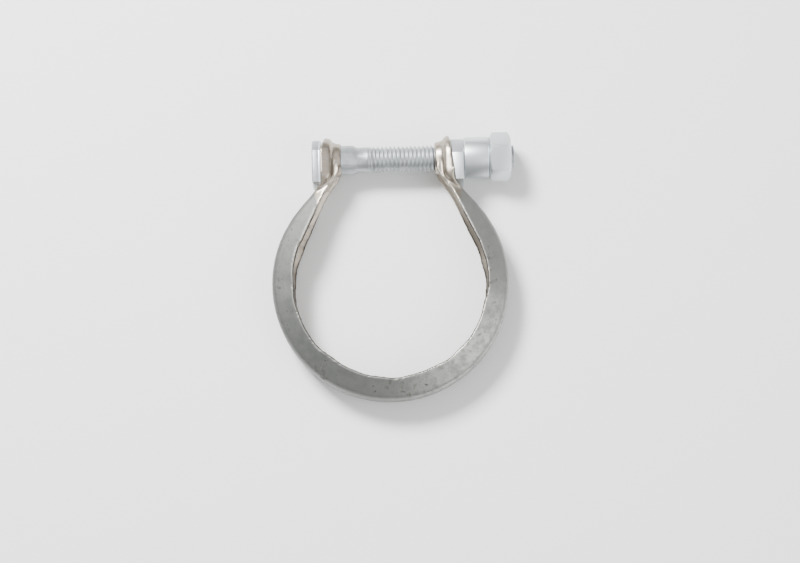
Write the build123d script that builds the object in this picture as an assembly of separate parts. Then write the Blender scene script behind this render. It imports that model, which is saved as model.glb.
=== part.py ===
from build123d import *
import math
import os

# Exhaust V-band clamp: one pressed strip with two dished lugs, closed by a T-head screw,
# two saddles, a spacer sleeve and a hex nut. Millimetres.
# The clamp axis is Z through the origin, which is the ring's centre at mid width.
# The screw lies along X above the ring, its head on the -X side and its nut on the +X side.

# Strip and ring
SHEET = 1.2
BAND_OUTER_RADIUS = 35.5
WEB_WIDTH = 7.4
FLANK_DEPTH = 6.2
FLANK_SLOPE = 60.0
WEB_CORNER_RADIUS = 2.0
FADE_ANGLE = 16.0

# Lugs, as distances from the ring's middle plane
BOLT_RISE = 2.9
LUG_SEAT_X = 18.0
LUG_WIDTH = 13.0
LUG_WALL_DEPTH = 5.2
LUG_WALL_FLARE = 12.0
LUG_CORNER_RADIUS = 1.4
LUG_BEND_RADIUS = 2.5
LUG_BEND_BELOW_BOLT = 5.6
WING_START_WIDTH = 4.4
FADE_STEPS = 2
RUN_STEPS = 3
BEND_STEPS = 2
NUT_RIM_X = 19.4
NUT_RIM_SLANT = 6.5
HEAD_RIM_X = 20.3
HEAD_RIM_SHOULDER = 2.6
HEAD_RIM_TOP_SLANT = 18.0

# Drawn collars round the screw, and the gussets that run up to them
COLLAR_LENGTH = 2.75
COLLAR_END_RADIUS = 5.0
COLLAR_ROOT_RADIUS = 5.45
HEAD_COLLAR_EDGE = 0.3
NUT_COLLAR_EDGE = 0.7
GUSSET_SETBACK = 0.5
GUSSET_FOOT_DEPTH = 2.1
GUSSET_HALF_WIDTH = 4.75

# Screw
THREAD_DIAMETER = 7.9
SHANK_DIAMETER = 7.6
NECK_DIAMETER = 8.9
NECK_REACH = 10.2
TAPER_LENGTH = 1.8
SHANK_LENGTH = 2.7
HEAD_THICKNESS = 2.0
HEAD_EDGE = 0.35
TIP_BEYOND_NUT = 1.25
TIP_DOME_HEIGHT = 0.8
TIP_SHOULDER_HEIGHT = 0.5
TIP_SHOULDER_DIAMETER = 6.3
TIP_FACE_DIAMETER = 4.0
NECK_CLEARANCE = 0.1
BORE_CLEARANCE = 0.3
NUT_CLEARANCE = 0.06

# Saddles, which share the head's outline
SADDLE_WIDTH = 13.0
SADDLE_BELOW_BOLT = 7.9
SADDLE_ABOVE_BOLT = 5.5
SADDLE_SHOULDER_HEIGHT = 1.9
SADDLE_TOP_WIDTH = 6.6
NUT_SADDLE_ABOVE_BOLT = 5.0
NUT_SADDLE_SHOULDER_HEIGHT = 0.3
SADDLE_EDGE = 0.25
HEAD_SADDLE_PLATE = 0.6
NUT_SADDLE_PLATE = 3.55
BOSS_CLEARANCE = 0.25
RIM_CLEARANCE = 0.1

# Sleeve and nut
SLEEVE_DIAMETER = 12.35
SLEEVE_LENGTH = 7.85
SLEEVE_CHAMFER = 0.4
NUT_ACROSS_FLATS = 13.0
NUT_HEIGHT = 6.5
NUT_FACE_DIAMETER = 12.0
NUT_CHAMFER_ANGLE = 30.0
NUT_TURN = 46.0
NUT_BORE_CHAMFER = 0.5

# Places worked out from the sizes above
BOLT_HEIGHT = BAND_OUTER_RADIUS + BOLT_RISE
GAP_FACE_X = LUG_SEAT_X - SHEET
COLLAR_END_X = GAP_FACE_X - COLLAR_LENGTH
HEAD_SEAT_X = HEAD_RIM_X + HEAD_SADDLE_PLATE
NUT_SADDLE_X = NUT_RIM_X + NUT_SADDLE_PLATE
SLEEVE_END_X = NUT_SADDLE_X + SLEEVE_LENGTH
NUT_END_X = SLEEVE_END_X + NUT_HEIGHT
TIP_X = NUT_END_X + TIP_BEYOND_NUT
NECK_BORE_RADIUS = NECK_DIAMETER / 2 + NECK_CLEARANCE
THREAD_BORE_RADIUS = THREAD_DIAMETER / 2 + BORE_CLEARANCE
LUG_TOP_Y = BOLT_HEIGHT + LUG_WIDTH
TRIM_REACH = 2 * LUG_WIDTH


def at(x, y):
    """Point in the ring's middle plane."""
    return Vector(x, y, 0)


def slope(degrees):
    """Rise over run of a slant given in degrees."""
    return math.tan(math.radians(degrees))


def turned(points):
    """Face between the screw's axis and an outline of (x, radius) points, to be turned about it."""
    outline = [(x, BOLT_HEIGHT + radius) for x, radius in points]
    return make_face(Polyline(*outline, close=True))


def about_screw(face, arc=360.0):
    """Solid made by turning a face in the middle plane about the screw's axis."""
    return revolve(face, Axis((0, BOLT_HEIGHT, 0), (1, 0, 0)), arc)


def section_plane(outer, inner):
    """Plane across the strip at outer, its x axis towards inner and its y axis along Z."""
    inwards = (inner - outer).normalized()
    return Plane(origin=outer, x_dir=inwards, z_dir=inwards.cross(Vector(0, 0, 1)))


def inside_corner_inset(wall_angle):
    """How far the inside corner of bent strip lies from its outside corner, along the web."""
    return SHEET * math.tan(wall_angle / 2)


def channel_face(plane, web_half, tip_half, depth, corner):
    """Strip section: a web along the plane's y axis, bent into two walls that reach depth in x."""
    wall = math.atan2(depth, tip_half - web_half)
    web_inset = inside_corner_inset(wall)
    tip_inset = SHEET * math.sin(wall)
    tip_rise = SHEET * math.cos(wall)
    upper = [
        (0, web_half),
        (depth, tip_half),
        (depth + tip_rise, tip_half - tip_inset),
        (SHEET, web_half - web_inset),
    ]
    lower = [(x, -y) for x, y in reversed(upper)]
    face = make_face(Polyline(*upper, *lower, close=True))
    bends = face.vertices().filter_by(lambda v: v.X < SHEET / 4)
    return plane * fillet(bends, corner)


def flank_tip_half():
    """Half width of the ring's channel at the outer edge of its flanks."""
    return WEB_WIDTH / 2 + FLANK_DEPTH / slope(FLANK_SLOPE)


def lug_start_angle():
    """Angle at which the strip leaves the ring in a straight line for the foot of the lug."""
    foot = at(LUG_SEAT_X, BOLT_HEIGHT - LUG_BEND_BELOW_BOLT)
    return math.degrees(math.atan2(foot.Y, foot.X) - math.acos(BAND_OUTER_RADIUS / foot.length))


def ring_end_angle():
    """Angle at which the flanks start to draw in, a little before the strip leaves the ring."""
    return lug_start_angle() - FADE_ANGLE


def on_ring(angle, radius):
    """Point of the ring at an angle from the nut side, and the strip's heading there."""
    turn = math.radians(angle)
    return at(math.cos(turn), math.sin(turn)) * radius, at(-math.sin(turn), math.cos(turn))


def ring():
    """V channel round the ring, open at the top between the lugs."""
    outer, _ = on_ring(ring_end_angle(), BAND_OUTER_RADIUS)
    plane = section_plane(outer, at(0, 0))
    section = channel_face(plane, WEB_WIDTH / 2, flank_tip_half(), FLANK_DEPTH, WEB_CORNER_RADIUS)
    return revolve(section, Axis.Z, -(180 + 2 * ring_end_angle()))


def rail(start, corner, end, run_steps):
    """Stations along a straight run, a bend and a straight run that ends beside the screw."""
    first = (corner - start).normalized()
    last = (end - corner).normalized()
    turn = math.radians(first.get_angle(last))
    bend_start = corner - first * LUG_BEND_RADIUS * math.tan(turn / 2)
    side = (last - first).normalized()
    centre = corner + side * LUG_BEND_RADIUS / math.cos(turn / 2)
    spoke = bend_start - centre
    sense = math.degrees(turn) * (1 if first.cross(last).Z > 0 else -1)
    run = [start + (bend_start - start) * step / run_steps for step in range(run_steps)]
    bend = [centre + spoke.rotate(Axis.Z, sense * step / BEND_STEPS) for step in range(BEND_STEPS + 1)]
    return run + bend + [end]


def outer_rail():
    """Stations of the strip's outer face, from the ring's end to the screw."""
    first = ring_end_angle()
    arc = [on_ring(first + FADE_ANGLE * step / FADE_STEPS, BAND_OUTER_RADIUS)[0] for step in range(FADE_STEPS)]
    start, _ = on_ring(lug_start_angle(), BAND_OUTER_RADIUS)
    seat_corner = at(LUG_SEAT_X, BOLT_HEIGHT - LUG_BEND_BELOW_BOLT)
    return arc + rail(start, seat_corner, at(LUG_SEAT_X, BOLT_HEIGHT), RUN_STEPS)


def inwards():
    """Direction from the strip's outer face towards its edges, at each station of the rail."""
    arc = [-on_ring(ring_end_angle() + FADE_ANGLE * step / FADE_STEPS, 1)[0] for step in range(FADE_STEPS)]
    square = on_ring(lug_start_angle(), 1)[0] * -1
    seat = Vector(-1, 0, 0)
    bend = [square + (seat - square) * step / BEND_STEPS for step in range(BEND_STEPS + 1)]
    return arc + [square] * RUN_STEPS + [way.normalized() for way in bend] + [seat]


def inner_rail():
    """Stations of the flanks' edges: they sink to the lug's foot and rise again to the collar."""
    depths = []
    run_end = FADE_STEPS + RUN_STEPS
    collar_depth = LUG_SEAT_X - COLLAR_END_X - GUSSET_SETBACK
    for step in range(len(outer_rail())):
        if step <= run_end:
            depths.append(eased(FLANK_DEPTH, GUSSET_FOOT_DEPTH, step / run_end))
        else:
            depths.append(eased(GUSSET_FOOT_DEPTH, collar_depth, (step - run_end) / (BEND_STEPS + 1)))
    return [outer + way * depth for outer, way, depth in zip(outer_rail(), inwards(), depths)]


def shares(points):
    """How far along a rail each of its stations lies, from 0 to 1."""
    steps = [0] + [(b - a).length for a, b in zip(points, points[1:])]
    return [sum(steps[: count + 1]) / sum(steps) for count in range(len(steps))]


def eased(start, end, share):
    """Value that leaves start and reaches end gently as share goes from 0 to 1."""
    return start + (end - start) * share * share * (3 - 2 * share)


def gusset():
    """Channel whose flanks draw in from the ring until they meet the collar."""
    sections = []
    for outer, inner, share in zip(outer_rail(), inner_rail(), shares(outer_rail())):
        web_half = eased(WEB_WIDTH / 2, GUSSET_HALF_WIDTH, share)
        tip_half = eased(flank_tip_half(), GUSSET_HALF_WIDTH + SHEET / 10, share)
        depth = (inner - outer).length
        corner = eased(WEB_CORNER_RADIUS, LUG_CORNER_RADIUS, share)
        plane = section_plane(outer, inner)
        sections.append(channel_face(plane, web_half, tip_half, depth, corner))
    return loft(sections, ruled=True)


def cup_half():
    """Half width of the lug's wall at its full depth."""
    return LUG_WIDTH / 2 + LUG_WALL_DEPTH * slope(LUG_WALL_FLARE)


def wings():
    """Walls that grow out of the strip's web and hold the saddle, up to the screw's height."""
    sections = []
    for step, (outer, inner) in enumerate(zip(outer_rail()[FADE_STEPS:], inner_rail()[FADE_STEPS:])):
        share = min(1, step / RUN_STEPS)
        web_half = eased(WING_START_WIDTH / 2, LUG_WIDTH / 2, share)
        tip_half = web_half + LUG_WALL_DEPTH * slope(LUG_WALL_FLARE)
        outwards = (outer - inner).normalized()
        gap_face = outer - outwards * SHEET
        plane = section_plane(gap_face, gap_face + outwards)
        sections.append(channel_face(plane, web_half, tip_half, LUG_WALL_DEPTH, LUG_CORNER_RADIUS))
    return loft(sections, ruled=True)


def crown():
    """Round top of the lug's cup, the walls' section turned over the screw."""
    plane = Plane(origin=(GAP_FACE_X, BOLT_HEIGHT, 0), x_dir=(1, 0, 0), z_dir=(0, -1, 0))
    section = channel_face(plane, LUG_WIDTH / 2, cup_half(), LUG_WALL_DEPTH, LUG_CORNER_RADIUS)
    front = plane * Pos(0, LUG_WIDTH) * Rectangle(4 * LUG_WALL_DEPTH, 2 * LUG_WIDTH)
    return about_screw(section & front, -180)


def collar(edge):
    """Solid plug of the drawn collar, from its turned-in end to the lug's seat."""
    return about_screw(turned([
        (COLLAR_END_X, 0),
        (COLLAR_END_X, COLLAR_END_RADIUS - edge),
        (COLLAR_END_X + edge / 2, COLLAR_END_RADIUS - edge / 4),
        (COLLAR_END_X + 2 * edge, COLLAR_END_RADIUS),
        (GAP_FACE_X, COLLAR_ROOT_RADIUS),
        (LUG_SEAT_X, COLLAR_ROOT_RADIUS),
        (LUG_SEAT_X, 0),
    ]))


def rim_trim(rim_x, slant, shoulder, top_slant):
    """Space outside the strip's outer face and beyond the rim of the lug's cup."""
    outer, heading = on_ring(lug_start_angle(), BAND_OUTER_RADIUS)
    reach = (rim_x - (outer.Y - BOLT_HEIGHT) * slope(slant) - outer.X) / (heading.X + heading.Y * slope(slant))
    foot = outer + heading * reach
    knee = at(rim_x - shoulder * slope(slant), BOLT_HEIGHT + shoulder)
    top = at(knee.X - (LUG_TOP_Y - knee.Y) * slope(top_slant), LUG_TOP_Y)
    far_top = at(BAND_OUTER_RADIUS, LUG_TOP_Y)
    far_foot = at(BAND_OUTER_RADIUS, outer.Y)
    outline = make_face(Polyline(outer, foot, knee, top, far_top, far_foot, close=True))
    return extrude(outline, TRIM_REACH, both=True)


def lug(bore_radius, collar_edge, trim):
    """One end of the strip, on the nut side: gusset, cup and collar with its hole."""
    cup = (wings() - trim) + (crown() - trim)
    bore = Pos(0, BOLT_HEIGHT, 0) * Rot(0, 90, 0) * Cylinder(bore_radius, 3 * LUG_SEAT_X)
    return gusset() + cup + collar(collar_edge) - bore


def band():
    """The whole pressed strip: ring and both lugs."""
    nut_trim = rim_trim(NUT_RIM_X, NUT_RIM_SLANT, 0, NUT_RIM_SLANT)
    head_trim = rim_trim(HEAD_RIM_X, 0, HEAD_RIM_SHOULDER, HEAD_RIM_TOP_SLANT)
    nut_lug = lug(THREAD_BORE_RADIUS, NUT_COLLAR_EDGE, nut_trim)
    head_lug = mirror(lug(NECK_BORE_RADIUS, HEAD_COLLAR_EDGE, head_trim), Plane.YZ)
    return ring() + nut_lug + head_lug


def saddle_slab(start_x, thickness, shoulder=SADDLE_SHOULDER_HEIGHT, above=SADDLE_ABOVE_BOLT):
    """Slab across the screw, from start_x towards the nut's end: straight sides, sloped shoulders."""
    half = SADDLE_WIDTH / 2
    right = [(half, -SADDLE_BELOW_BOLT), (half, shoulder), (SADDLE_TOP_WIDTH / 2, above)]
    left = [(-z, y) for z, y in reversed(right)]
    plane = Plane(origin=(start_x, BOLT_HEIGHT, 0), x_dir=(0, 0, -1), z_dir=(1, 0, 0))
    return extrude(plane * make_face(Polyline(*right, *left, close=True)), thickness)


def nut_saddle_slab(start_x, thickness):
    """Slab of the nut's saddle, whose shoulders start lower than the head's."""
    return saddle_slab(start_x, thickness, NUT_SADDLE_SHOULDER_HEIGHT, NUT_SADDLE_ABOVE_BOLT)


def rod(start_x, end_x, radius):
    """Round bar on the screw's axis."""
    middle = (start_x + end_x) / 2
    return Pos(middle, BOLT_HEIGHT, 0) * Rot(0, 90, 0) * Cylinder(radius, end_x - start_x)


def bolt():
    """T-head screw: slab head, thick neck, taper, thin shank, thread cylinder and domed tip."""
    neck = NECK_DIAMETER / 2
    shank = SHANK_DIAMETER / 2
    thread = THREAD_DIAMETER / 2
    neck_end = NECK_REACH - HEAD_SEAT_X
    taper_end = neck_end + TAPER_LENGTH
    thread_start = taper_end + SHANK_LENGTH
    dome_foot = TIP_X - TIP_DOME_HEIGHT
    outline = turned([
        (-HEAD_SEAT_X, 0),
        (-HEAD_SEAT_X, neck),
        (neck_end, neck),
        (taper_end, shank),
        (thread_start, shank),
        (thread_start + thread - shank, thread),
        (dome_foot, thread),
        (dome_foot + TIP_SHOULDER_HEIGHT, TIP_SHOULDER_DIAMETER / 2),
        (TIP_X, TIP_FACE_DIAMETER / 2),
        (TIP_X, 0),
    ])
    stem = about_screw(outline)
    slab = saddle_slab(-HEAD_SEAT_X - HEAD_THICKNESS, HEAD_THICKNESS)
    outer_edges = slab.faces().sort_by(Axis.X)[0].edges()
    return chamfer(outer_edges, HEAD_EDGE) + stem


def cup_boss(reach, slab):
    """Boss that sits on the floor of the nut side's cup, widens with its walls and keeps inside
    its saddle's slab, out to reach."""
    floor_half = LUG_WIDTH / 2 - inside_corner_inset(math.atan2(1, slope(LUG_WALL_FLARE)))
    foot_radius = floor_half - BOSS_CLEARANCE
    top_radius = foot_radius + (reach - LUG_SEAT_X) * slope(LUG_WALL_FLARE)
    outline = turned([(LUG_SEAT_X, 0), (LUG_SEAT_X, foot_radius), (reach, top_radius), (reach, 0)])
    boss = about_screw(outline)
    bend_end = outer_rail()[-2]
    _, heading = on_ring(lug_start_angle(), BAND_OUTER_RADIUS)
    below = bend_end - heading * LUG_WIDTH
    heel = make_face(Polyline(bend_end, below, at(0, below.Y), at(0, bend_end.Y), close=True))
    inside = slab(LUG_SEAT_X, reach - LUG_SEAT_X)
    return (boss & inside) - extrude(heel, LUG_WIDTH, both=True)


def head_saddle():
    """Thin saddle between the T head and the left lug: a plate on the rim and a boss in the cup."""
    slab = saddle_slab(-HEAD_SEAT_X, HEAD_SADDLE_PLATE)
    boss = mirror(cup_boss(HEAD_RIM_X, saddle_slab), Plane.YZ)
    return slab + boss - rod(-BAND_OUTER_RADIUS, 0, NECK_BORE_RADIUS)


def nut_saddle():
    """Thick saddle in the right lug, its inner face slanted like the lug's rim."""
    slab = nut_saddle_slab(LUG_SEAT_X, NUT_SADDLE_X - LUG_SEAT_X)
    edge = chamfer(slab.faces().sort_by(Axis.X)[-1].edges(), SADDLE_EDGE)
    face_x = NUT_RIM_X + RIM_CLEARANCE
    top = BOLT_HEIGHT + LUG_WIDTH
    bottom = BOLT_HEIGHT - LUG_WIDTH
    top_x = face_x - LUG_WIDTH * slope(NUT_RIM_SLANT)
    bottom_x = face_x + LUG_WIDTH * slope(NUT_RIM_SLANT)
    below_rim = make_face(Polyline((0, bottom), (bottom_x, bottom), (top_x, top), (0, top), close=True))
    plate = edge - extrude(below_rim, LUG_WIDTH, both=True)
    boss = cup_boss(NUT_RIM_X + NUT_SADDLE_PLATE / 2, nut_saddle_slab)
    return plate + boss - rod(0, BAND_OUTER_RADIUS, THREAD_BORE_RADIUS)


def spacer_sleeve():
    """Plain collar between the nut saddle and the nut."""
    body = rod(NUT_SADDLE_X, SLEEVE_END_X, SLEEVE_DIAMETER / 2)
    ends = body.edges().filter_by(GeomType.CIRCLE)
    return chamfer(ends, SLEEVE_CHAMFER) - rod(NUT_SADDLE_X, SLEEVE_END_X, THREAD_BORE_RADIUS)


def hex_nut():
    """Hex nut, its corners turned down to a cone on both faces."""
    plane = Plane(origin=(SLEEVE_END_X, BOLT_HEIGHT, 0), x_dir=(0, 0, -1), z_dir=(1, 0, 0))
    hexagon = RegularPolygon(NUT_ACROSS_FLATS / 2, 6, major_radius=False, rotation=NUT_TURN)
    block = extrude(plane * hexagon, NUT_HEIGHT)
    reach = NUT_ACROSS_FLATS
    rise = (reach - NUT_FACE_DIAMETER / 2) * slope(NUT_CHAMFER_ANGLE)
    blank = about_screw(turned([
        (SLEEVE_END_X, 0),
        (SLEEVE_END_X, NUT_FACE_DIAMETER / 2),
        (SLEEVE_END_X + rise, reach),
        (NUT_END_X - rise, reach),
        (NUT_END_X, NUT_FACE_DIAMETER / 2),
        (NUT_END_X, 0),
    ]))
    bore_radius = THREAD_DIAMETER / 2 + NUT_CLEARANCE
    body = (block & blank) - rod(SLEEVE_END_X, NUT_END_X, bore_radius)
    mouths = body.edges().filter_by(GeomType.CIRCLE).filter_by(lambda e: e.radius < bore_radius + SHEET / 10)
    return chamfer(mouths, NUT_BORE_CHAMFER)


def main():
    os.makedirs("parts", exist_ok=True)
    pieces = {
        "band": band(),
        "bolt": bolt(),
        "head_saddle": head_saddle(),
        "nut_saddle": nut_saddle(),
        "spacer_sleeve": spacer_sleeve(),
        "hex_nut": hex_nut(),
    }
    for name, piece in pieces.items():
        export_step(piece, f"parts/{name}.step")


main()
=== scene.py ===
"""Exhaust clamp with a T-head screw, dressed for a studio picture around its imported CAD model."""

import math

import bpy
from mathutils import Matrix, Vector


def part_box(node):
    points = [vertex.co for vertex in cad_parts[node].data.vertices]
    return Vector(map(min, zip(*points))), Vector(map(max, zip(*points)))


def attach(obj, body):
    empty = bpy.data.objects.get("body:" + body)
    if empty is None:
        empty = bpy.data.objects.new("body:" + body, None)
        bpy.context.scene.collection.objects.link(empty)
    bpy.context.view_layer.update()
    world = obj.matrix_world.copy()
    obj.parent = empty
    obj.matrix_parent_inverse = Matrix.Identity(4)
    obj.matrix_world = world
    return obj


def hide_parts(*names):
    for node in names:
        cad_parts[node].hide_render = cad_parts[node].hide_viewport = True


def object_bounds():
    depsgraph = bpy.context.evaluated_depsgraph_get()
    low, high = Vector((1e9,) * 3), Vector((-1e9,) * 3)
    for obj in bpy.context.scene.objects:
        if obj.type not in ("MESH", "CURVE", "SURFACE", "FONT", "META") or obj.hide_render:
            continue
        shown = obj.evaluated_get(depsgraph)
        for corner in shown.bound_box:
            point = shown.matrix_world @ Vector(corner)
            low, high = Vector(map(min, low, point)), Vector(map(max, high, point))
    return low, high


bl_info = {
    "name": "Exhaust clamp",
    "version": (1, 0, 0),
    "blender": (4, 5, 0),
    "location": "View3D > Sidebar > Clamp",
    "description": "Builds the visual pieces, finishes, light and camera of an exhaust clamp",
    "category": "Object",
}

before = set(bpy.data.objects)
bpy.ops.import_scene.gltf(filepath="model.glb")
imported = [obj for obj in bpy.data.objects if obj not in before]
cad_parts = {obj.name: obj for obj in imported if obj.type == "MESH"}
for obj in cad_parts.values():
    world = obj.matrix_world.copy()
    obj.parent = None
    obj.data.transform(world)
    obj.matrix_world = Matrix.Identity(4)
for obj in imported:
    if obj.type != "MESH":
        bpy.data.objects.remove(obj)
cad_low, cad_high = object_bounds()

MM = 0.001
PICTURE_WIDTH = 800
PICTURE_HEIGHT = 563
SENSOR_WIDTH = 36.0

# Places taken from the frame
BAND_LOW, BAND_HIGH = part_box("band")
BOLT_LOW, BOLT_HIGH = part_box("bolt")
SLEEVE_LOW, SLEEVE_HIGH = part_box("spacer_sleeve")
NUT_LOW, NUT_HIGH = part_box("hex_nut")
RING_RADIUS = -BAND_LOW.y
SCREW_Y = (SLEEVE_LOW.y + SLEEVE_HIGH.y) / 2
FLOOR_Z = cad_low.z


class ClampSizes(bpy.types.PropertyGroup):
    sheet: bpy.props.FloatProperty(
        name="Sheet", description="Thickness of the pressed strip", default=1.2 * MM, unit="LENGTH")
    web_width: bpy.props.FloatProperty(
        name="Web width", description="Width of the strip's flat web on the ring", default=7.4 * MM, unit="LENGTH")
    flank_depth: bpy.props.FloatProperty(
        name="Flank depth", description="How far the flanks reach towards the ring's middle",
        default=6.2 * MM, unit="LENGTH")
    flank_slope: bpy.props.FloatProperty(
        name="Flank slope", description="Angle of the flanks to the ring's axis",
        default=math.radians(60), subtype="ANGLE")
    web_corner: bpy.props.FloatProperty(
        name="Web corner", description="Outer radius of the bends between web and flanks",
        default=2.0 * MM, unit="LENGTH")
    ring_end: bpy.props.FloatProperty(
        name="Ring end", description="Angle above the screw's side at which the ring's channel ends",
        default=math.radians(26.0), subtype="ANGLE")
    ring_steps: bpy.props.IntProperty(
        name="Ring steps", description="Segments round the ring", default=216)
    edge_wave: bpy.props.FloatProperty(
        name="Edge wave", description="How far the flanks' edges wander in and out",
        default=0.3 * MM, unit="LENGTH")
    grain: bpy.props.FloatProperty(
        name="Grain", description="Cell size that the pressed strip is fused with", default=0.355 * MM, unit="LENGTH")
    softening: bpy.props.IntProperty(
        name="Softening", description="Passes that round the pressed strip's edges", default=5)
    thread_pitch: bpy.props.FloatProperty(
        name="Thread pitch", description="Travel of the thread in one turn", default=1.25 * MM, unit="LENGTH")
    thread_crest: bpy.props.FloatProperty(
        name="Thread crest", description="Outer radius of the thread", default=3.95 * MM, unit="LENGTH")
    thread_root: bpy.props.FloatProperty(
        name="Thread root", description="Radius at the bottom of the thread", default=3.22 * MM, unit="LENGTH")
    thread_start: bpy.props.FloatProperty(
        name="Thread start", description="Where the thread starts, measured from the ring's middle",
        default=-6.2 * MM, unit="LENGTH")
    tip_dome: bpy.props.FloatProperty(
        name="Tip dome", description="Height of the screw's rounded tip", default=0.8 * MM, unit="LENGTH")
    break_edge: bpy.props.FloatProperty(
        name="Broken edge", description="Width of the worn edges of the cast and turned pieces",
        default=0.16 * MM, unit="LENGTH")


class ClampColours(bpy.types.PropertyGroup):
    flank: bpy.props.FloatVectorProperty(
        name="Flank", description="Dull scaled steel of the ring's flanks",
        default=(0.125, 0.132, 0.125), size=3, subtype="COLOR")
    # Bright worn steel, also the colour of the painted highlight on the ring's lower right
    flank_worn_and_lit: bpy.props.FloatVectorProperty(
        name="Worn flank", description="Steel where the flanks are rubbed bright",
        default=(0.42, 0.42, 0.40), size=3, subtype="COLOR")
    drawn: bpy.props.FloatVectorProperty(
        name="Drawn steel", description="Warm bare steel of the drawn lugs",
        default=(0.36, 0.31, 0.25), size=3, subtype="COLOR")
    # Dark stain colour, also painted shade on the sheared inner edge
    soot_and_shade: bpy.props.FloatVectorProperty(
        name="Soot", description="Dark stains and the sheared edge",
        default=(0.022, 0.019, 0.016), size=3, subtype="COLOR")
    zinc: bpy.props.FloatVectorProperty(
        name="Zinc", description="Matt zinc flake coat of the screw's pieces",
        default=(0.44, 0.465, 0.48), size=3, subtype="COLOR")
    zinc_dark: bpy.props.FloatVectorProperty(
        name="Dull zinc", description="Duller patches in the zinc flake coat",
        default=(0.27, 0.295, 0.31), size=3, subtype="COLOR")
    floor: bpy.props.FloatVectorProperty(
        name="Floor", description="Pale floor under the clamp",
        default=(0.90, 0.90, 0.90), size=3, subtype="COLOR")


class StudioView(bpy.types.PropertyGroup):
    tilt: bpy.props.FloatProperty(
        name="Tilt", description="How far the camera leans from straight above towards the ring's lower side",
        default=math.radians(9.5), subtype="ANGLE")
    roll: bpy.props.FloatProperty(
        name="Roll", description="How far the clamp is turned in the picture, anticlockwise",
        default=math.radians(1.33), subtype="ANGLE")
    distance: bpy.props.FloatProperty(
        name="Distance", description="From the camera to the ring's middle", default=0.6, unit="LENGTH")
    pixels_per_mm: bpy.props.FloatProperty(
        name="Pixels per mm", description="Scale of the picture at the ring's middle", default=3.324)
    ring_px_x: bpy.props.FloatProperty(
        name="Ring across", description="Picture column of the ring's middle", default=390.6)
    ring_px_y: bpy.props.FloatProperty(
        name="Ring down", description="Picture row of the ring's middle", default=284.0)


def deselect():
    """Leaves nothing selected, in object mode."""
    if bpy.context.object and bpy.context.object.mode != "OBJECT":
        bpy.ops.object.mode_set(mode="OBJECT")
    bpy.ops.object.select_all(action="DESELECT")


def take(piece):
    """Makes a piece the only selected and active object."""
    deselect()
    piece.select_set(True)
    bpy.context.view_layer.objects.active = piece
    return piece


def edit(piece, chosen=None):
    """Opens a piece in edit mode, with the vertices that chosen accepts selected, or all of them."""
    take(piece)
    for group in (piece.data.vertices, piece.data.edges, piece.data.polygons):
        group.foreach_set("select", [False] * len(group))
    for vertex in piece.data.vertices:
        vertex.select = chosen is None or chosen(vertex.co)
    bpy.ops.object.mode_set(mode="EDIT")
    bpy.ops.mesh.select_mode(type="VERT")


def close():
    """Leaves edit mode."""
    bpy.ops.object.mode_set(mode="OBJECT")


def added(name):
    """Names the object that an operator has just added and puts its place into its mesh."""
    piece = bpy.context.object
    piece.name = name
    piece.data.name = name
    bpy.ops.object.transform_apply(location=True, rotation=True, scale=True)
    return piece


def finish_with(piece, kind, **settings):
    """Adds a modifier to a piece and applies it."""
    take(piece)
    bpy.ops.object.modifier_add(type=kind)
    modifier = piece.modifiers[-1]
    for key, value in settings.items():
        setattr(modifier, key, value)
    bpy.ops.object.modifier_apply(modifier=modifier.name)
    return piece


def joined(name, *pieces):
    """Joins pieces into the first one."""
    take(pieces[0])
    for piece in pieces[1:]:
        piece.select_set(True)
    bpy.ops.object.join()
    pieces[0].name = name
    pieces[0].data.name = name
    return pieces[0]


def copy_of_node(node, name):
    """Merged copy of a CAD node's loose triangles, with its flat faces whole again."""
    take(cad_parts[node])
    bpy.ops.object.duplicate()
    piece = bpy.context.object
    piece.name = name
    piece.data.name = name
    piece.data.materials.clear()
    edit(piece)
    bpy.ops.mesh.remove_doubles(threshold=0.002 * MM)
    bpy.ops.mesh.select_all(action="SELECT")
    bpy.ops.mesh.dissolve_limited(angle_limit=math.radians(0.5))
    close()
    return piece


def cut_away(piece, point, normal):
    """Cuts a closed piece at a plane, closes the cut and drops what lies on the normal's side."""
    edit(piece)
    bpy.ops.mesh.bisect(plane_co=point, plane_no=normal, use_fill=True, clear_outer=True)
    close()


def about_screw(radius, x, turn=0.0):
    """Point at a radius from the screw's axis."""
    return Vector((x, SCREW_Y + radius * math.cos(turn), radius * math.sin(turn)))


def outline_piece(name, points):
    """Chain of edges through points, extruded from one vertex."""
    deselect()
    bpy.ops.mesh.primitive_plane_add(size=MM, location=(0, 0, 0))
    piece = added(name)
    edit(piece)
    bpy.ops.mesh.merge(type="CENTER")
    bpy.ops.transform.translate(value=points[0])
    for start, end in zip(points, points[1:]):
        bpy.ops.mesh.extrude_region_move(TRANSFORM_OT_translate={"value": Vector(end) - Vector(start)})
    close()
    return piece


def turned(name, points, steps):
    """Closed solid made by spinning (x, radius) points about the screw's axis."""
    piece = outline_piece(name, [about_screw(radius, x) for x, radius in points])
    edit(piece)
    bpy.ops.mesh.spin(
        steps=steps, angle=2 * math.pi, use_auto_merge=True,
        center=about_screw(0, 0), axis=(1, 0, 0))
    bpy.ops.mesh.select_all(action="SELECT")
    bpy.ops.mesh.remove_doubles(threshold=0.002 * MM)
    bpy.ops.mesh.normals_make_consistent(inside=False)
    close()
    return piece


def flank_tip(sizes, side):
    """Radius and height of a flank's outer edge."""
    reach = sizes.flank_depth
    rise = sizes.web_width / 2 + reach / math.tan(sizes.flank_slope)
    return Vector((RING_RADIUS - reach, 0, side * rise))


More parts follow.
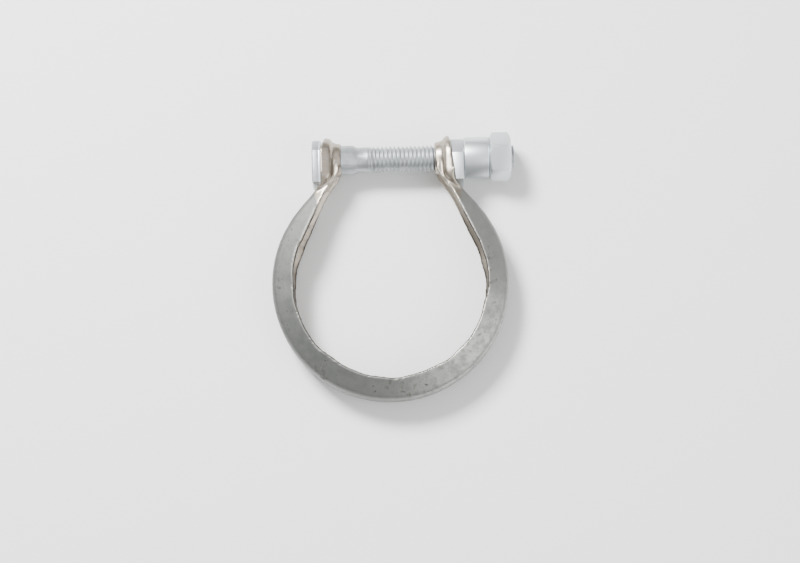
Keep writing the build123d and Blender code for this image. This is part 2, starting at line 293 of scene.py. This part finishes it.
def ring_skin(sizes):
    """Outer skin of the ring: its section bent at the web's corners, then spun round the ring."""
    half = sizes.web_width / 2
    corners = [
        flank_tip(sizes, 1),
        Vector((RING_RADIUS, 0, half)),
        Vector((RING_RADIUS, 0, -half)),
        flank_tip(sizes, -1),
    ]
    skin = outline_piece("ring", corners)
    wall = math.pi - sizes.flank_slope
    setback = sizes.web_corner * math.tan((math.pi - wall) / 2)
    edit(skin, lambda co: co.x > RING_RADIUS - 0.1 * MM)
    bpy.ops.mesh.bevel(affect="VERTICES", offset_type="OFFSET", offset=setback, segments=6)
    bpy.ops.mesh.select_all(action="SELECT")
    start = Matrix.Rotation(sizes.ring_end, 4, "Z")
    close()
    skin.data.transform(start)
    edit(skin)
    bpy.ops.mesh.spin(
        steps=sizes.ring_steps, angle=math.pi + 2 * sizes.ring_end, center=(0, 0, 0), axis=(0, 0, 1))
    close()
    return skin


def edge_wander(angle):
    """Share of the edge wave at an angle round the ring, as pressed strip wanders."""
    return (0.5 * math.sin(7 * angle + 0.6) + 0.35 * math.sin(13 * angle + 2.1)
            + 0.25 * math.sin(22 * angle + 4.0))


def make_band(sizes):
    """The one-piece strip: a spun ring fused with the lugs of the CAD solid and softened as pressed."""
    ring = ring_skin(sizes)
    for vertex in ring.data.vertices:
        radius = math.hypot(vertex.co.x, vertex.co.y)
        if radius < RING_RADIUS - 0.9 * sizes.flank_depth:
            angle = math.atan2(vertex.co.y, vertex.co.x)
            share = edge_wander(angle + (0.4 if vertex.co.z < 0 else 0)) * sizes.edge_wave
            scale = (radius + share) / radius
            vertex.co.x *= scale
            vertex.co.y *= scale
            vertex.co.z -= math.copysign(share / math.tan(sizes.flank_slope), vertex.co.z)
    edit(ring)
    bpy.ops.mesh.normals_make_consistent(inside=False)
    close()
    finish_with(ring, "SOLIDIFY", thickness=sizes.sheet, offset=-1.0, use_even_offset=True)
    lugs = copy_of_node("band", "lugs")
    parts = [ring]
    for side in (1, -1):
        lug = lugs
        if side > 0:
            take(lugs)
            bpy.ops.object.duplicate()
            lug = bpy.context.object
        cut_away(lug, (0, 0, 0), (-side, 0, 0))
        end = sizes.ring_end - math.radians(0.5)
        cut_away(lug, (0, 0, 0), (side * math.sin(end), -math.cos(end), 0))
        parts.append(lug)
    band = joined("band_strip", *parts)
    finish_with(band, "REMESH", mode="VOXEL", voxel_size=sizes.grain, adaptivity=0.0)
    finish_with(band, "SMOOTH", factor=0.5, iterations=sizes.softening)
    take(band)
    bpy.ops.object.shade_smooth()
    return band


def thread_length(sizes):
    """Length from the thread's start to the foot of the tip's dome."""
    return BOLT_HIGH.x - sizes.tip_dome - sizes.thread_start


def make_thread(sizes):
    """Helical thread: one pitch of its profile, screwed along the shank and trimmed to a chamfered tip."""
    pitch = sizes.thread_pitch
    start = sizes.thread_start - pitch
    crest, root = sizes.thread_crest, sizes.thread_root
    profile = [
        (start, root), (start + pitch * 0.14, root), (start + pitch * 0.46, crest),
        (start + pitch * 0.60, crest), (start + pitch, root)]
    thread = outline_piece("thread", [about_screw(radius, x) for x, radius in profile])
    edit(thread)
    close()
    shift = Matrix.Translation((0, -SCREW_Y, 0))
    thread.data.transform(shift)
    turns = math.ceil((thread_length(sizes) + 3 * pitch) / pitch)
    finish_with(
        thread, "SCREW", axis="X", angle=2 * math.pi, screw_offset=pitch, iterations=turns, steps=40,
        render_steps=40)
    thread.data.transform(shift.inverted())
    edit(thread)
    bpy.ops.mesh.remove_doubles(threshold=0.005 * MM)
    bpy.ops.mesh.fill_holes(sides=0)
    bpy.ops.mesh.select_all(action="SELECT")
    bpy.ops.mesh.normals_make_consistent(inside=False)
    close()
    tip = BOLT_HIGH.x
    envelope = turned("thread_envelope", [
        (sizes.thread_start - 0.2 * MM, 0),
        (sizes.thread_start - 0.2 * MM, root),
        (sizes.thread_start + 0.5 * pitch, crest + 0.1 * MM),
        (tip - 1.3 * sizes.tip_dome, crest + 0.1 * MM),
        (tip - 0.45 * sizes.tip_dome, root),
        (tip - 0.12 * sizes.tip_dome, 0.55 * root),
        (tip, 0.2 * root),
        (tip, 0)], 64)
    finish_with(thread, "BOOLEAN", operation="INTERSECT", solver="EXACT", object=envelope)
    bpy.data.objects.remove(envelope)
    return thread


def make_bolt(sizes):
    """T-head screw: the CAD solid's head, neck and shank, with a helical thread in place of its rod."""
    stem = copy_of_node("bolt", "stem")
    cut_away(stem, (sizes.thread_start + 0.15 * MM, 0, 0), (1, 0, 0))
    finish_with(
        stem, "BEVEL", width=sizes.break_edge, segments=2, limit_method="ANGLE",
        angle_limit=math.radians(30))
    thread = make_thread(sizes)
    runout = turned("runout", [
        (sizes.thread_start - 0.1 * MM, 0),
        (sizes.thread_start - 0.1 * MM, 3.8 * MM),
        (sizes.thread_start + 0.3 * MM, 3.8 * MM),
        (sizes.thread_start + 2.2 * sizes.thread_pitch, sizes.thread_root),
        (sizes.thread_start + 2.3 * sizes.thread_pitch, 0)], 64)
    screw = joined("t_head_screw", stem, thread, runout)
    take(screw)
    bpy.ops.object.shade_smooth_by_angle(angle=math.radians(38))
    return screw


def make_worn_copy(node, name, sizes):
    """A CAD node's merged copy with its sharp edges broken."""
    piece = copy_of_node(node, name)
    finish_with(
        piece, "BEVEL", width=sizes.break_edge, segments=2, limit_method="ANGLE",
        angle_limit=math.radians(30), harden_normals=False)
    take(piece)
    bpy.ops.object.shade_smooth_by_angle(angle=math.radians(35))
    return piece


class Wire:
    """A shader socket that takes part in plain arithmetic."""

    def __init__(self, finish, socket):
        self.finish = finish
        self.socket = socket

    def math(self, operation, *others):
        return self.finish.node("ShaderNodeMath", {"operation": operation}, self, *others)

    def __add__(self, other):
        return self.math("ADD", other)

    def __radd__(self, other):
        return self.math("ADD", other)

    def __sub__(self, other):
        return self.math("SUBTRACT", other)

    def __rsub__(self, other):
        return self.math("MULTIPLY", -1).math("ADD", other)

    def __mul__(self, other):
        return self.math("MULTIPLY", other)

    def __rmul__(self, other):
        return self.math("MULTIPLY", other)

    def __truediv__(self, other):
        return self.math("DIVIDE", other)

    def __pow__(self, other):
        return self.math("POWER", other)


class Finish:
    """A node material under construction on Object coordinates, in millimetres."""

    def __init__(self, name):
        self.material = bpy.data.materials.new(name)
        self.material.use_nodes = True
        self.tree = self.material.node_tree
        self.shader = next(n for n in self.tree.nodes if n.type == "BSDF_PRINCIPLED")
        place = self.tree.nodes.new("ShaderNodeTexCoord")
        self.object = Wire(self, place.outputs["Object"])
        self.normal = Wire(self, place.outputs["Normal"])

    def node(self, kind, settings, *values, output=0, **named):
        """Adds a node with its settings, then its sockets' values or links, and returns an output."""
        node = self.tree.nodes.new(kind)
        for key, value in settings.items():
            if key == "stops":
                while len(node.color_ramp.elements) < len(value):
                    node.color_ramp.elements.new(0.5)
                for element, (position, shade) in zip(node.color_ramp.elements, value):
                    element.position = position
                    element.color = (*shade, 1) if isinstance(shade, tuple) else (shade, shade, shade, 1)
            else:
                setattr(node, key, value)
        for key, value in [*enumerate(values), *((k.replace("_", " "), v) for k, v in named.items())]:
            if isinstance(value, Wire):
                self.tree.links.new(value.socket, node.inputs[key])
            elif value is not None:
                node.inputs[key].default_value = value
        return Wire(self, node.outputs[output])

    def split(self, vector):
        """The three parts of a vector."""
        node = self.tree.nodes.new("ShaderNodeSeparateXYZ")
        self.tree.links.new(vector.socket, node.inputs[0])
        return [Wire(self, out) for out in node.outputs]

    def scaled(self, *factors):
        """Object coordinates in millimetres, stretched by factors."""
        factors = [f / MM for f in factors]
        return self.node("ShaderNodeVectorMath", {"operation": "MULTIPLY"}, self.object, factors)

    def noise(self, vector, size, detail=3.0, roughness=0.55):
        """Cloudy noise whose features are about size millimetres wide."""
        return self.node(
            "ShaderNodeTexNoise", {}, Vector=vector, Scale=1.0 / size, Detail=detail, Roughness=roughness)

    def step(self, value, low, high):
        """0 below low, 1 above high and smooth between."""
        settings = {"interpolation_type": "SMOOTHSTEP", "clamp": True}
        return self.node("ShaderNodeMapRange", settings, value, low, high, 0.0, 1.0)

    def mix(self, share, first, second):
        """Blend of two colours."""
        first = first if isinstance(first, Wire) else (*first, 1)
        second = second if isinstance(second, Wire) else (*second, 1)
        node = self.tree.nodes.new("ShaderNodeMix")
        node.data_type = "RGBA"
        node.clamp_factor = True
        for index, value in ((0, share), (6, first), (7, second)):
            if isinstance(value, Wire):
                self.tree.links.new(value.socket, node.inputs[index])
            else:
                node.inputs[index].default_value = value
        return Wire(self, node.outputs[2])

    def bump(self, height, depth):
        """Bumps of a height pattern, as deep as depth millimetres."""
        return self.node("ShaderNodeBump", {}, Strength=1.0, Distance=depth * MM, Height=height)

    def coat(self, **sockets):
        """Sets or links the shader's own sockets."""
        for key, value in sockets.items():
            name = key.replace("_", " ").title()
            if isinstance(value, Wire):
                self.tree.links.new(value.socket, self.shader.inputs[name])
            else:
                self.shader.inputs[name].default_value = value
        return self.material


def strip_steel(colours):
    """Scaled grey flanks, warm drawn lugs and dark sheared edges of the pressed strip, with a painted highlight on
    the ring's lower right and painted shade on the sheared edges.
    """
    finish = Finish("strip_steel")
    place = finish.scaled(1, 1, 1)
    x, y, z = finish.split(place)
    nx, ny, nz = finish.split(finish.normal)
    radius = (x * x + y * y) ** 0.5
    side = x.math("ABSOLUTE")
    lift = z.math("ABSOLUTE")
    crease = side - (21.4 + (y - 24) * 0.226)
    drawn = finish.step(crease, 0.4, -0.4) * finish.step(y, 20, 25)
    inner_face = finish.step((nx * x + ny * y) / radius, -0.2, -0.5) * finish.step(y, 30, 26)
    warm = drawn.math("MAXIMUM", inner_face)
    broad = finish.noise(place, 9.0)
    cloudy = finish.noise(place, 2.2, detail=5.0, roughness=0.65)
    fine = finish.noise(place, 0.35, detail=2.0)
    # Painted highlight where the light catches the ring's lower right, broken up by cloudy noise as worn patches; the
    # nut side is paler than the head side
    rubbed_and_lit = finish.step(((x - y) / radius) * 0.7071, 0.62, 1.0) * finish.step(cloudy, 0.36, 0.62)
    paler = finish.step(x / radius, -0.9, 1.0) * 0.35
    stain = finish.step(cloudy * 0.55 + broad * 0.45, 0.56, 0.66)
    speck = finish.step(finish.noise(place, 1.1, detail=4.0, roughness=0.7), 0.63, 0.70)
    streaks = finish.noise(finish.scaled(0.5, 2.2, 0.5), 1.0, detail=4.0)
    flank = finish.mix(paler + cloudy * 0.35, colours.flank, colours.flank_worn_and_lit)
    # Painted highlight and wear: the lower right takes the bright worn steel colour
    flank = finish.mix(rubbed_and_lit * 0.7, flank, colours.flank_worn_and_lit)
    flank = finish.mix(stain * 0.45 + speck * 0.5, flank, colours.soot_and_shade)
    lug = finish.mix(finish.step(streaks, 0.35, 0.75) * 0.5, colours.drawn, colours.flank_worn_and_lit)
    lug = finish.mix(finish.step(cloudy, 0.58, 0.75) * 0.45, lug, colours.soot_and_shade)
    shade = finish.mix(warm, flank, lug)
    # Sheared inner edge: dark partly as grime, partly as painted shade over the edge's rounding where the light would
    # catch it
    edge = finish.step((nx * x + ny * y) / radius, -0.35, -0.7) * finish.step(radius, 31.5, 30.2)
    edge = edge * finish.step(y, 27, 22)
    shade = finish.mix(edge * 0.85, shade, colours.soot_and_shade)
    rough = 0.47 - warm * 0.17 - rubbed_and_lit * 0.14 + cloudy * 0.12 + stain * 0.12
    relief = cloudy * 0.6 + fine * 0.25 + streaks * 0.15
    return finish.coat(
        base_color=shade, metallic=1.0, roughness=rough, normal=finish.bump(relief, 0.05))


def zinc_flake(colours):
    """Matt grey zinc flake coat with fine dimples and dull patches."""
    finish = Finish("zinc_flake")
    place = finish.scaled(1, 1, 1)
    cloudy = finish.noise(place, 2.6, detail=4.0, roughness=0.6)
    dimples = finish.noise(place, 0.55, detail=3.0, roughness=0.6)
    grit = finish.noise(place, 0.16, detail=1.0)
    shade = finish.mix(finish.step(cloudy, 0.35, 0.7) * 0.55 + grit * 0.12, colours.zinc, colours.zinc_dark)
    rough = 0.36 + cloudy * 0.16 + grit * 0.06
    relief = dimples * 0.7 + grit * 0.3
    return finish.coat(
        base_color=shade, metallic=0.85, roughness=rough, normal=finish.bump(relief, 0.045))


def floor_paint(colours):
    """Plain pale floor."""
    finish = Finish("floor_paint")
    return finish.coat(base_color=(*colours.floor, 1), metallic=0.0, roughness=0.9)


def dress(piece, material, body, slot, *nodes):
    """Gives a finished piece its material and its body, and hides the CAD nodes it stands for; the slot is not used.
    """
    piece.data.materials.clear()
    piece.data.materials.append(material)
    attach(piece, body)
    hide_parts(*nodes)


class CLAMP_OT_band(bpy.types.Operator):
    """Build the pressed strip with its ring and both lugs"""

    bl_idname = "clamp.band"
    bl_label = "Pressed strip"

    def execute(self, context):
        scene = context.scene
        band = make_band(scene.clamp_sizes)
        dress(band, strip_steel(scene.clamp_colours), "clamp", "stainless_strip", "band")
        return {"FINISHED"}


class CLAMP_OT_screw(bpy.types.Operator):
    """Build the T-head screw with its helical thread"""

    bl_idname = "clamp.screw"
    bl_label = "T-head screw"

    def execute(self, context):
        scene = context.scene
        screw = make_bolt(scene.clamp_sizes)
        dress(screw, zinc_flake(scene.clamp_colours), "clamp", "zinc_flake", "bolt")
        return {"FINISHED"}


class CLAMP_OT_stack(bpy.types.Operator):
    """Build the saddles, the sleeve and the nut that sit on the screw"""

    bl_idname = "clamp.stack"
    bl_label = "Saddles, sleeve and nut"

    def execute(self, context):
        scene = context.scene
        zinc = bpy.data.materials["zinc_flake"]
        stack = (("head_saddle", "clamp"), ("nut_saddle", "saddle"), ("spacer_sleeve", "sleeve"), ("hex_nut", "nut"))
        for node, body in stack:
            piece = make_worn_copy(node, node + "_worn", scene.clamp_sizes)
            dress(piece, zinc, body, "zinc_flake", node)
        return {"FINISHED"}


class CLAMP_OT_stage(bpy.types.Operator):
    """Lay the floor and set the light and the camera"""

    bl_idname = "clamp.stage"
    bl_label = "Studio"

    def execute(self, context):
        scene = context.scene
        make_floor(scene.clamp_colours)
        make_lights(scene)
        make_camera(scene)
        return {"FINISHED"}


def make_floor(colours):
    """A large pale plane that the clamp lies on."""
    deselect()
    bpy.ops.mesh.primitive_plane_add(size=4.0, location=(0, 0, FLOOR_Z - 0.05 * MM))
    floor = added("floor")
    floor.data.materials.append(floor_paint(colours))


def soft_box(name, place, aim, size, power):
    """Square area light at a place, turned to what it lights."""
    deselect()
    bpy.ops.object.light_add(type="AREA", location=place)
    light = bpy.context.object
    light.name = name
    light.rotation_euler = (Vector(aim) - Vector(place)).to_track_quat("-Z", "Y").to_euler()
    light.data.size = size
    light.data.energy = power
    return light


def make_lights(scene):
    """Bright surroundings, a key light from the upper left and a soft fill light from the lower right."""
    world = bpy.data.worlds.new("studio")
    world.use_nodes = True
    tree = world.node_tree
    background = tree.nodes["Background"]
    place = tree.nodes.new("ShaderNodeTexCoord")
    height = tree.nodes.new("ShaderNodeSeparateXYZ")
    ramp = tree.nodes.new("ShaderNodeValToRGB")
    tree.links.new(place.outputs["Generated"], height.inputs[0])
    tree.links.new(height.outputs["Z"], ramp.inputs["Fac"])
    tree.links.new(ramp.outputs["Color"], background.inputs["Color"])
    ramp.color_ramp.elements[0].position = 0.15
    ramp.color_ramp.elements[0].color = (0.10, 0.10, 0.10, 1)
    ramp.color_ramp.elements[1].position = 0.85
    ramp.color_ramp.elements[1].color = (1, 1, 1, 1)
    background.inputs["Strength"].default_value = 1.1
    scene.world = world
    soft_box("key", (-0.26, 0.34, 0.52), (0, 0, 0), 0.20, 13.0)
    soft_box("fill", (0.45, -0.25, 0.45), (0, 0, 0), 0.5, 2.5)


def make_camera(scene):
    """Camera above the clamp, placed so that the ring falls where it does in the picture."""
    view = scene.clamp_view
    turn = Matrix.Rotation(view.tilt, 4, "X") @ Matrix.Rotation(-view.roll, 4, "Z")
    across = (PICTURE_WIDTH / 2 - view.ring_px_x) / view.pixels_per_mm * MM
    up = (view.ring_px_y - PICTURE_HEIGHT / 2) / view.pixels_per_mm * MM
    place = turn @ Vector((across, up, view.distance))
    deselect()
    bpy.ops.object.camera_add(location=place, rotation=turn.to_euler())
    camera = bpy.context.object
    camera.name = "camera"
    camera.data.sensor_width = SENSOR_WIDTH
    camera.data.lens = view.pixels_per_mm * SENSOR_WIDTH * (view.distance / MM) / PICTURE_WIDTH
    camera.data.clip_start = 0.01
    camera.data.clip_end = 20
    scene.camera = camera


class CLAMP_PT_panel(bpy.types.Panel):
    """Lists the clamp's pieces in the sidebar"""

    bl_label = "Exhaust clamp"
    bl_idname = "CLAMP_PT_panel"
    bl_space_type = "VIEW_3D"
    bl_region_type = "UI"
    bl_category = "Clamp"

    def draw(self, context):
        for step in STEPS:
            self.layout.operator(step.bl_idname)
        for group in (context.scene.clamp_sizes, context.scene.clamp_colours, context.scene.clamp_view):
            for name in group.__annotations__:
                self.layout.prop(group, name)


STEPS = (CLAMP_OT_band, CLAMP_OT_screw, CLAMP_OT_stack, CLAMP_OT_stage)
CLASSES = (ClampSizes, ClampColours, StudioView, *STEPS, CLAMP_PT_panel)


def register():
    for item in CLASSES:
        bpy.utils.register_class(item)
    bpy.types.Scene.clamp_sizes = bpy.props.PointerProperty(type=ClampSizes)
    bpy.types.Scene.clamp_colours = bpy.props.PointerProperty(type=ClampColours)
    bpy.types.Scene.clamp_view = bpy.props.PointerProperty(type=StudioView)


def unregister():
    for name in ("clamp_sizes", "clamp_colours", "clamp_view"):
        delattr(bpy.types.Scene, name)
    for item in reversed(CLASSES):
        bpy.utils.unregister_class(item)


def main():
    """Builds every piece."""
    register()
    bpy.ops.clamp.band()
    bpy.ops.clamp.screw()
    bpy.ops.clamp.stack()
    bpy.ops.clamp.stage()


if __name__ == "__main__":
    main()
